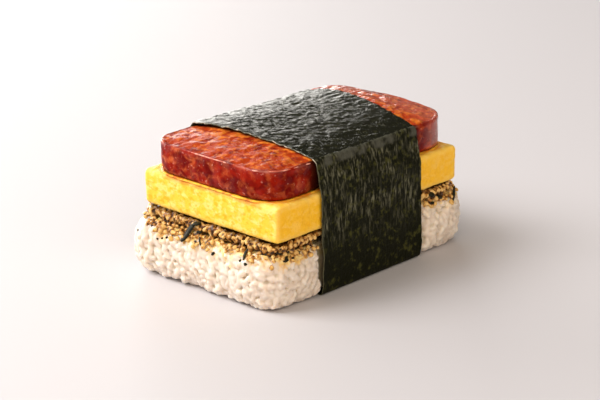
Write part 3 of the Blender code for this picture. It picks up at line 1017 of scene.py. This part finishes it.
def scatter_tree(name, shape, material, keep):
    """keep(place, normal) gives the share of points that stay at a place."""
    tree, inside, result = new_tree(name, "Spacing", "Size Low", "Size High", "Tilt", "Sink",
                                    "Sink Spread", "Bend", "Seed")
    seed, tilt, sink = inside["Seed"], inside["Tilt"], inside["Sink"]
    normal = value_of(tree, "GeometryNodeInputNormal")
    spread = node(tree, "GeometryNodeDistributePointsOnFaces", {
        "Mesh": inside["Geometry"], "Distance Min": inside["Spacing"] * MM,
        "Density Max": POINT_DENSITY, "Density Factor": keep(place_in_mm(tree), normal),
        "Seed": seed,
    }, distribute_method="POISSON").outputs
    sunk = random_between(sink - inside["Sink Spread"], sink + inside["Sink Spread"], seed)
    push = Value(spread["Normal"]).vector("SCALE", Scale=sunk * -MM)
    points = set_position(Value(spread["Points"]), Offset=push)
    turn = value_of(tree, "FunctionNodeRandomValue", {
        0: joined(tree, -tilt, -tilt, -pi), 1: joined(tree, tilt, tilt, pi), "Seed": seed + 5.0,
    }, data_type="FLOAT_VECTOR")
    turned = value_of(tree, "FunctionNodeRotateRotation", {
        "Rotation": Value(spread["Rotation"]),
        "Rotate By": value_of(tree, "FunctionNodeEulerToRotation", {0: turn}),
    }, rotation_space="LOCAL")
    instance = value_of(tree, "GeometryNodeObjectInfo", {"Object": shape}, "Geometry")
    copies = value_of(tree, "GeometryNodeInstanceOnPoints", {
        "Points": points, "Instance": instance, "Rotation": turned,
        "Scale": random_between(inside["Size Low"], inside["Size High"], seed + 9.0),
    })
    tone = {"Geometry": copies, "Name": "tone", "Value": random_between(0.0, 1.0, seed + 13.0)}
    toned = value_of(tree, "GeometryNodeStoreNamedAttribute", tone,
                     domain="INSTANCE", data_type="FLOAT")
    real = value_of(tree, "GeometryNodeRealizeInstances", {0: toned})
    wobble = place_in_mm(tree).vector("DIVIDE", (BEND_SIZE,) * 3)
    wobble = wobble.speckle(1.0, detail=1.0, output="Color").vector("SUBTRACT", (0.5, 0.5, 0.5))
    bent = set_position(real, Offset=wobble.vector("SCALE", Scale=inside["Bend"] * (2 * MM)))
    place = value_of(tree, "GeometryNodeInputPosition")
    above_floor = joined(tree, place.x, place.y, place.z.math("MAXIMUM", 0.0))
    rested = set_position(bent, Position=above_floor)
    coated = {"Geometry": rested, "Material": material}
    coated = value_of(tree, "GeometryNodeSetMaterial", coated)
    smooth = value_of(tree, "GeometryNodeSetShadeSmooth", {"Geometry": coated})
    tree.links.new(smooth.socket, result)
    return tree


def skin_copy(node_name, name):
    """The surface that things are scattered on."""
    return fine_copy(node_name, name, SKIN_VOXEL, smoothing=3)


def triangles(piece):
    return sum(len(polygon.vertices) - 2 for polygon in piece.data.polygons)


def scatter(node_name, name, tree, slot, **sizes):
    piece = skin_copy(node_name, name)
    run_tree(piece, tree, **sizes)
    used = [material for material in piece.data.materials if material]
    piece.data.materials.clear()
    piece.data.materials.append(used[0])
    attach(piece, "root")
    print(name, "triangles:", triangles(piece))


# %% [markdown]
# ## The rice
# Short grains of cooked rice, pressed in a mould until they stick. Seen close, each grain is
# still a plump white bean, and the gaps between grains are a little darker, as painted shade.
# So grains are scattered half sunk in a smaller core, and all of it is remeshed into one soft
# skin, as the starch glues the real ones. Light goes into cooked rice, which a single skin lets it do.

# %% Finish the rice
RICE_COLOURS = ((0.69, 0.575, 0.485, 1.0), (0.755, 0.66, 0.575, 1.0))
RICE_GAP_SHADE = (0.56, 0.47, 0.27, 1.0)
BAND_SHADE = (0.16, 0.12, 0.05, 1.0)
RICE_STAIN = (0.82, 0.50, 0.10, 1.0)
RICE_BROWN = (0.50, 0.22, 0.04, 1.0)
STAIN_PALE, STAIN_SOAKED, STAIN_BROWN = (12.5, 17.5), (15.5, 18.5), (16.0, 20.0)
BARE_CORNER, BARE_CORNER_DROP = (66.0, 78.0), 5.0


def drop_back_corner(place, level):
    """Lowers the level at the back corner of the near end, where the seasoning stops short."""
    return (place.y - place.x).fade(*BARE_CORNER).scaled(-BARE_CORNER_DROP, level)


rice_coat, tree, shader = new_material(
    "rice_coat", 0.32, Subsurface_Weight=1.0, Subsurface_Radius=(1.0, 0.9, 0.75),
    Subsurface_Scale=2.6 * MM, Specular_IOR_Level=0.45,
)
where = millimetres(tree)
tone = where.speckle(3.5, detail=1.0).fade(0.35, 0.65)
level = where.z + where.speckle(5.0, detail=3.0).scaled(14.0, -7.0)
level = drop_back_corner(where, level)
patch = where.speckle(2.2).fade(0.46, 0.66).scaled(0.7, 0.05)
pale = level.fade(*STAIN_PALE) * patch
pale = pale.math("MAXIMUM", level.fade(*STAIN_SOAKED) * 0.8)
brown = level.fade(*STAIN_BROWN) * where.speckle(1.5).fade(0.50, 0.64)
# Painted shade: the gaps between grains are darker.
gap = stored(tree, "hollow").fade(0.0, 0.8) * 0.45
by_band = (-abs(where.x)).fade(-BAND_HALF_LENGTH - 1.8, -BAND_HALF_LENGTH - 0.4)
colour = blend(tone, *RICE_COLOURS)
colour = blend(pale, colour, RICE_STAIN)
colour = blend(brown, colour, RICE_BROWN)
colour = blend(gap, colour, RICE_GAP_SHADE)
# Painted shade: the rice darkens beside the band, standing in for the dark gap under the sheet's edge.
colour = blend(by_band * 0.8, colour, BAND_SHADE)
join(shader, Base_Color=colour)
set_bump(shader, (where.speckle(0.9), 0.12))

# %% Grains of rice
GRAIN_SIZE, GRAIN_BOW = (3.7, 2.0, 1.8), 0.2
BAND_GAP = 1.9
LEDGE = 1.5
UPRIGHT = 0.97


def small_shape(name, rows, columns, size, bow):
    """A rounded seed of a few dozen faces, long in X and bowed sideways."""
    bm = bmesh.new()
    bmesh.ops.create_uvsphere(bm, u_segments=columns, v_segments=rows, radius=0.5)
    for vertex in bm.verts:
        along, across, up = vertex.co.z * 2, vertex.co.x * 2, vertex.co.y * 2
        x = along * size[0] / 2
        y = across * size[1] / 2 + bow * (1 - along * along)
        vertex.co = Vector((x, y, up * size[2] / 2)) * MM
    bmesh.ops.recalc_face_normals(bm, faces=bm.faces[:])
    # the sphere's edges and faces come in an order that varies from run to run, so it is set here
    bm.verts.index_update()
    for parts in (bm.edges, bm.faces):
        parts.sort(key=lambda part: sum(2.0**vertex.index for vertex in part.verts))
    return bpy.data.objects.new(name, mesh_from(bm, name))


def open_air(half_x, half_y):
    """Points stay beside the band, and on top only outside the layer above, of this half size."""

    def keep(place, normal):
        along, across = abs(place.x), abs(place.y)
        beside = along.math("GREATER_THAN", BAND_HALF_LENGTH + BAND_GAP)
        upright = normal.z.math("LESS_THAN", UPRIGHT)
        clear_x = along.math("GREATER_THAN", half_x - LEDGE)
        clear_y = across.math("GREATER_THAN", half_y - LEDGE)
        return beside * upright.math("MAXIMUM", clear_x.math("MAXIMUM", clear_y))

    return keep


grain = small_shape("rice_grain", 7, 8, GRAIN_SIZE, GRAIN_BOW)
rice_open = open_air(SEASONING_HIGH.x, SEASONING_HIGH.y)
rice_scatter = scatter_tree("scatter_rice", grain, rice_coat, rice_open)
print("a grain has", len(grain.data.polygons), "faces")

# %% Press grains into one skin
PRESS_VOXEL = 0.30
HOLLOW_ROUNDS, HOLLOW_FULL = 10, 0.35


def join_pieces(name, pieces):
    """One mesh of several pieces, and the pieces gone."""
    bm = bmesh.new()
    for piece in pieces:
        bm.from_mesh(piece.data)
        bpy.data.objects.remove(piece)
    return new_piece(name, mesh_from(bm, name))


def hollows(mesh):
    """How far each point lies below its smoothed surroundings: 1 in a gap, -1 on a crown."""
    ends = np.empty(len(mesh.edges) * 2, np.int64)
    mesh.edges.foreach_get("vertices", ends)
    first, second = ends.reshape(-1, 2).T
    start = points_of(mesh)
    count = len(start)
    links = np.bincount(ends, minlength=count)
    smoothed = start.copy()
    for _ in range(HOLLOW_ROUNDS):
        sums = [np.bincount(first, smoothed[second, i], count)
                + np.bincount(second, smoothed[first, i], count) for i in range(3)]
        smoothed = np.stack([total / links for total in sums], axis=1)
    normals = np.empty(count * 3)
    mesh.vertices.foreach_get("normal", normals)
    depth = np.sum((smoothed - start) * normals.reshape(-1, 3), axis=1)
    return np.clip(depth / HOLLOW_FULL, -1, 1)


def press(name, pieces, kept, material, softness):
    """Joins pieces into one skin with even faces and thins it out to a share of them."""
    pressed = join_pieces(name, pieces)
    add_remesh(pressed, PRESS_VOXEL, softness)
    thin = pressed.modifiers.new("thin", "DECIMATE")
    thin.ratio = kept
    plain_mesh(pressed)
    pressed.data.shade_smooth()
    pressed.data.materials.clear()
    pressed.data.materials.append(material)
    store(pressed.data, "hollow", hollows(pressed.data))
    print(name, "triangles:", triangles(pressed))
    return pressed


# %% Build the rice
CORE_INSET = 1.2
BULGE, BULGE_NEAR, BULGE_FAR = 1.3, 4.0, 26.0
BULGE_HEIGHT, BULGE_POWER = 19.0, 0.5


def bulge(piece):
    """Pushes the back corner of the near end out, where the heap has slumped."""
    points = points_of(piece.data)
    away = np.hypot(points[:, 0] - RICE_LOW.x, points[:, 1] - RICE_HIGH.y)
    belly = np.sin(pi * np.clip(points[:, 2] / BULGE_HEIGHT, 0, 1)) ** BULGE_POWER
    amount = BULGE * (1 - smoothstep(BULGE_NEAR, BULGE_FAR, away)) * belly
    points[:, 0] -= amount
    points[:, 1] += amount
    set_points(piece.data, points)


core = fine_copy("rice", "rice_core", voxel=0.9)
bulge(core)
along = np.abs(points_of(core.data)[:, 0])
store(core.data, "relief", smoothstep(BAND_HALF_LENGTH - 3, BAND_HALF_LENGTH, along))
run_tree(core, relief, swell=-CORE_INSET, lump_size=6.0, lump_depth=0.8, grain_size=2.2,
         grain_depth=0.9, pit_size=3.0, pit_depth=0.0)
grains = skin_copy("rice", "pressed_grains")
bulge(grains)
run_tree(grains, rice_scatter, spacing=1.45, size_low=0.75, size_high=1.2, tilt=0.6,
         sink=0.95, sink_spread=0.3, bend=0.25, seed=3)
heap = press("rice_heap", (core, grains), 0.34, rice_coat, softness=4)
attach(heap, "root")
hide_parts("rice")

# %% [markdown]
# ## The seasoned layer
# Between rice and egg lies a layer of grains stained with soy: plump and tan where they stand
# out, and almost black between them, where the sauce has run and painted shade deepens it. It is
# pressed like the rice, from smaller grains on a core, and spills over the rice's shoulder. Each
# point's depth below its surroundings then tells the material where to paint the sauce and shade,
# and a thin painted shadow runs under the egg.

# %% Finish the seasoned grains
SEASONED_DARK = (0.075, 0.026, 0.007, 1.0)
SEASONED_TAN = (0.39, 0.165, 0.032, 1.0)
SEASONED_PALE = (0.69, 0.43, 0.145, 1.0)
SEASONED_GOLD = (0.64, 0.36, 0.09, 1.0)
SAUCE_AND_SHADE = (0.045, 0.015, 0.003, 1.0)

seasoned_coat, tree, shader = new_material("seasoned_coat", 0.16, Specular_IOR_Level=0.25)
where = millimetres(tree)
hollow = stored(tree, "hollow")
# The tone also darkens a little in the hollows, as painted shade.
tone = where.speckle(1.5, detail=3.0) - hollow * 0.12
lower = (-where.z).fade(-18.0, -15.5)
colour = blend(tone.fade(0.40, 0.52), SEASONED_DARK, SEASONED_TAN)
colour = blend(tone.fade(0.52, 0.62), colour, SEASONED_PALE)
colour = blend(lower * 0.35, colour, SEASONED_GOLD)
# Sauce and painted shade: darker in the hollows between grains, and in a thin line under the egg, where its
# shadow falls.
gap = hollow.fade(-0.45, 0.35) * lower.scaled(-0.45, 0.9)
sauce_and_shade_under_egg = where.z + where.speckle(3.0).scaled(1.6, -0.8)
sauce_and_shade_under_egg = sauce_and_shade_under_egg.fade(SEASONING_HIGH.z - 0.5, SEASONING_HIGH.z + 0.3)
dark = gap.math("MAXIMUM", sauce_and_shade_under_egg * 0.8)
join(shader, Base_Color=blend(dark, colour, SAUCE_AND_SHADE))
set_bump(shader, (where.speckle(0.8), 0.12))

# %% Build the seasoned layer
LEVEL_WANDER, LEVEL_SLOPE = 7.0, 0.035
PATCH_SIZE, PATCH_FADE = 3.0, 0.12
SEASONED_SIZES = dict(spacing=1.4, size_low=0.75, size_high=1.15, tilt=0.6, bend=0.25)


def zone(keep_open, low, full, patchy):
    """A rule that keeps open points above a height that wanders, in patches."""

    def keep(place, normal):
        level = place.z + place.speckle(7.0).scaled(LEVEL_WANDER, -LEVEL_WANDER / 2)
        level = (place.y - RICE_HIGH.y).scaled(LEVEL_SLOPE, level)
        level = drop_back_corner(place, level)
        patch = place.speckle(PATCH_SIZE).fade(patchy, patchy + PATCH_FADE)
        return keep_open(place, normal) * level.fade(low, full) * patch

    return keep


bed_open = open_air(EGG_HIGH.x, EGG_HIGH.y)
seasoned_grain = small_shape("seasoned_grain", 6, 7, (2.0, 1.7, 1.6), 0.05)
on_bed = scatter_tree("scatter_seasoned", seasoned_grain, seasoned_coat,
                      zone(bed_open, 0.0, 1.0, 0.0))
on_rice = scatter_tree("scatter_seasoned_low", seasoned_grain, seasoned_coat,
                       zone(rice_open, 14.4, 15.4, 0.0))
bed = fine_copy("seasoning", "seasoning_core", voxel=0.7)
store(bed.data, "relief", np.ones(len(bed.data.vertices)))
run_tree(bed, relief, swell=-0.8, lump_size=3.0, lump_depth=0.5, grain_size=1.4,
         grain_depth=0.5, pit_size=2.0, pit_depth=0.0)
upper = skin_copy("seasoning", "seasoned_upper")
run_tree(upper, on_bed, sink=0.35, sink_spread=0.45, seed=11, **SEASONED_SIZES)
lower = skin_copy("rice", "seasoned_lower")
bulge(lower)
run_tree(lower, on_rice, sink=-0.35, sink_spread=0.35, seed=12, **SEASONED_SIZES)
layer = press("seasoned_layer", (bed, upper, lower), 0.42, seasoned_coat, softness=2)
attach(layer, "root")
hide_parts("seasoning")

# %% Dark crumbs
CRUMB_MOTTLE = 0.8
DARK = ((0.02, 0.008, 0.003, 1.0), (0.16, 0.06, 0.015, 1.0))
BLACK = ((0.005, 0.005, 0.0025, 1.0), (0.032, 0.030, 0.014, 1.0))


def toned_material(name, roughness, colours, specular):
    """A material between two colours by each copy's own tone, with a fine mottle."""
    material, tree, shader = new_material(name, roughness, Specular_IOR_Level=specular)
    where = millimetres(tree)
    tone = where.speckle(CRUMB_MOTTLE).scaled(0.6, -0.3) + stored(tree, "tone")
    join(shader, Base_Color=blend(tone, *colours))
    set_bump(shader, (where.speckle(CRUMB_MOTTLE / 2), 0.1))
    return material


dark_coat = toned_material("dark_crumb_coat", 0.3, DARK, 0.5)
black_coat = toned_material("flake_coat", 0.5, BLACK, 0.15)
crumb = small_shape("crumb", 4, 5, (1.3, 1.0, 0.8), 0.1)
dark_on_bed = scatter_tree("scatter_crumbs", crumb, dark_coat, zone(bed_open, 14.0, 18.0, 0.56))
dark_on_rice = scatter_tree("scatter_crumbs_low", crumb, dark_coat,
                            zone(rice_open, 15.0, 19.5, 0.50))
scatter("seasoning", "crumbs_upper", dark_on_bed, "seasoning", spacing=1.2, size_low=0.5,
        size_high=1.1, tilt=0.8, sink=-0.35, sink_spread=0.3, bend=0.2, seed=13)
scatter("rice", "crumbs_lower", dark_on_rice, "seasoning", spacing=1.6, size_low=0.4,
        size_high=1.0, tilt=0.8, sink=-0.7, sink_spread=0.2, bend=0.2, seed=14)

# %% [markdown]
# ## Flakes laid one by one
# Larger bits of dried seaweed lie where they fell: a long strip, a clump beside it, an
# oval on the near corner and dots round them. Each chip is a row with its place in millimetres,
# and is moved onto the surface and laid flat along it. A strip lies stiffly between its two
# ends, on the highest grains.

# %% Lay the flakes
# x, y, z, length, width, turn in degrees
CHIPS = (
    (-45.7, 4.0, 21.7, 3.0, 2.2, 60), (-46.8, 2.0, 21.0, 1.8, 1.3, 20), (-49.5, -18.5, 16.3, 1.2, 1.0, 0),
    (-49.4, -21.1, 15.6, 1.4, 1.0, 40), (-41.1, -30.9, 17.5, 3.2, 2.1, 0), (-39.0, -32.0, 17.5, 1.0, 0.9, 0),
    (-35.5, -30.9, 17.9, 1.0, 0.8, 30), (-49.5, -6.7, 15.4, 1.7, 1.1, 50), (-49.6, 27.7, 14.8, 1.0, 0.8, 0),
    (-46.1, 27.9, 19.1, 0.9, 0.8, 0), (-48.8, 22.3, 18.0, 1.0, 0.7, 0), (-50.1, 14.4, 16.2, 1.0, 0.8, 0),
    (-50.3, 16.1, 15.1, 0.9, 0.7, 0), (-50.5, 18.1, 14.5, 0.8, 0.7, 0), (30.5, -30.8, 21.0, 2.6, 2.0, 0),
    (34.9, -30.6, 18.9, 2.4, 1.8, 70), (30.1, -31.3, 17.7, 2.2, 1.4, 20), (47.0, 12.0, 20.5, 2.6, 1.8, 30),
    (48.5, -8.0, 17.0, 1.6, 1.2, 0), (40.0, 30.5, 18.5, 2.8, 2.0, 0), (-38.0, 31.0, 18.0, 2.4, 1.6, 45),
    (31.0, 31.0, 16.5, 1.2, 1.0, 0), (-30.0, 31.5, 19.5, 1.4, 1.0, 0),
)
# both ends in mm, and the width
STRIPS = (
    ((-46.3, 4.6, 21.6), (-49.8, 7.2, 15.9), 2.8),
    ((-47.0, -19.6, 20.0), (-49.2, -19.8, 16.9), 1.2),
    ((-48.0, 0.3, 18.6), (-49.4, -1.5, 16.4), 0.6),
    ((43.5, -29.6, 19.4), (39.4, -32.2, 15.4), 1.1),
    ((48.0, 20.0, 19.5), (50.0, 16.0, 15.5), 1.0),
    ((28.5, 31.0, 20.0), (34.0, 32.5, 17.0), 0.9),
)
CHIP_CORNERS = 10
CHIP_THICKNESS = 0.35
# height as a share of the thickness, and how far the ring reaches
CHIP_RINGS = ((-1.0, 1.0), (0.4, 0.95), (1.0, 0.5))
CHIP_RAGGED, CHIP_CURL = 0.45, 0.3
STRIP_STEPS = 14
STRIP_THICKNESS = 0.2
STRIP_TAPER, STRIP_WAVE = 0.6, 0.12
STRIP_REST, STRIP_LIFT = 0.85, 0.1
SEARCH_START, LEAN_UP = 8, 0.25
UP = Vector((0, 0, 1))


def search_tree(piece):
    bm = bmesh.new()
    bm.from_mesh(piece.data)
    tree = BVHTree.FromBMesh(bm)
    bm.free()
    return tree


surfaces = [search_tree(piece) for piece in (heap, layer)]
guide = skin_copy("rice", "guide")
guide_tree = search_tree(guide)
bpy.data.objects.remove(guide)


def on_surface(place):
    """Comes in from outside at a place, and gives the first point met and the way out."""
    _, out = guide_tree.find_nearest(Vector(place) * MM)[:2]
    out = (out + UP * LEAN_UP).normalized()
    start = Vector(place) * MM + out * SEARCH_START * MM
    met = [tree.ray_cast(start, -out) for tree in surfaces]
    met = [hit for hit in met if hit[0] is not None]
    return min(met, key=lambda hit: hit[3])[0] / MM, out


def skin_rings(bm, rings):
    """Faces between rings of points, and one over each end."""
    for low, high in zip(rings, rings[1:]):
        for k in range(len(low)):
            n = (k + 1) % len(low)
            bm.faces.new((low[k], low[n], high[n], high[k]))
    bm.faces.new(rings[-1])
    bm.faces.new(rings[0][::-1])


def add_chip(bm, place, length, width, turn):
    place, up = on_surface(place)
    level = up.cross(UP).normalized()
    along = (level * cos(turn) + up.cross(level) * sin(turn)).normalized()
    across = up.cross(along)
    rings = []
    for height, share in CHIP_RINGS:
        ring = []
        for k in range(CHIP_CORNERS):
            angle = 2 * pi * k / CHIP_CORNERS
            c, s = cos(angle), sin(angle)
            reach = share * (1 + CHIP_RAGGED * noise.noise(place + Vector((c, s, 0)) * 1.4))
            lift = CHIP_THICKNESS * height + CHIP_CURL * noise.noise(place + Vector((c, 5, s)))
            spot = place + along * c * reach * length / 2 + across * s * reach * width / 2
            ring.append(bm.verts.new((spot + up * lift) * MM))
        rings.append(ring)
    skin_rings(bm, rings)


def add_strip(bm, start, end, width):
    """A stiff strip that lies on the highest grains between its two ends."""
    start, end = Vector(start), Vector(end)
    shares = [step / STRIP_STEPS for step in range(STRIP_STEPS + 1)]
    found = [on_surface(start.lerp(end, share)) for share in shares]
    up = sum((normal for _, normal in found), Vector()).normalized()
    across = up.cross(end - start).normalized()
    rises = [(place - start.lerp(end, share)).dot(up) for share, (place, _) in zip(shares, found)]
    rings = []
    for share in shares:
        taper = width / 2 * (1 - STRIP_TAPER * abs(2 * share - 1) ** 3)
        wave = STRIP_WAVE * sin(7 * share + width * 9)
        middle = start.lerp(end, share) + up * (max(rises) * STRIP_REST + STRIP_LIFT + wave)
        thick = up * STRIP_THICKNESS
        ring = (middle + across * taper, middle + thick, middle - across * taper, middle - thick)
        rings.append([bm.verts.new(point * MM) for point in ring])
    skin_rings(bm, rings)


bm = bmesh.new()
for x, y, z, length, width, turn in CHIPS:
    add_chip(bm, (x, y, z), length, width, radians(turn))
for start, end, width in STRIPS:
    add_strip(bm, start, end, width)
bmesh.ops.recalc_face_normals(bm, faces=bm.faces[:])
flakes = new_piece("seaweed_flakes", mesh_from(bm, "seaweed_flakes"))
flakes.data.shade_smooth()
flakes.data.materials.append(black_coat)
store(flakes.data, "tone", [0.3 + 0.3 * noise.noise(v.co / MM / 3) for v in flakes.data.vertices])
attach(flakes, "root")
print("flakes laid:", len(CHIPS) + len(STRIPS))
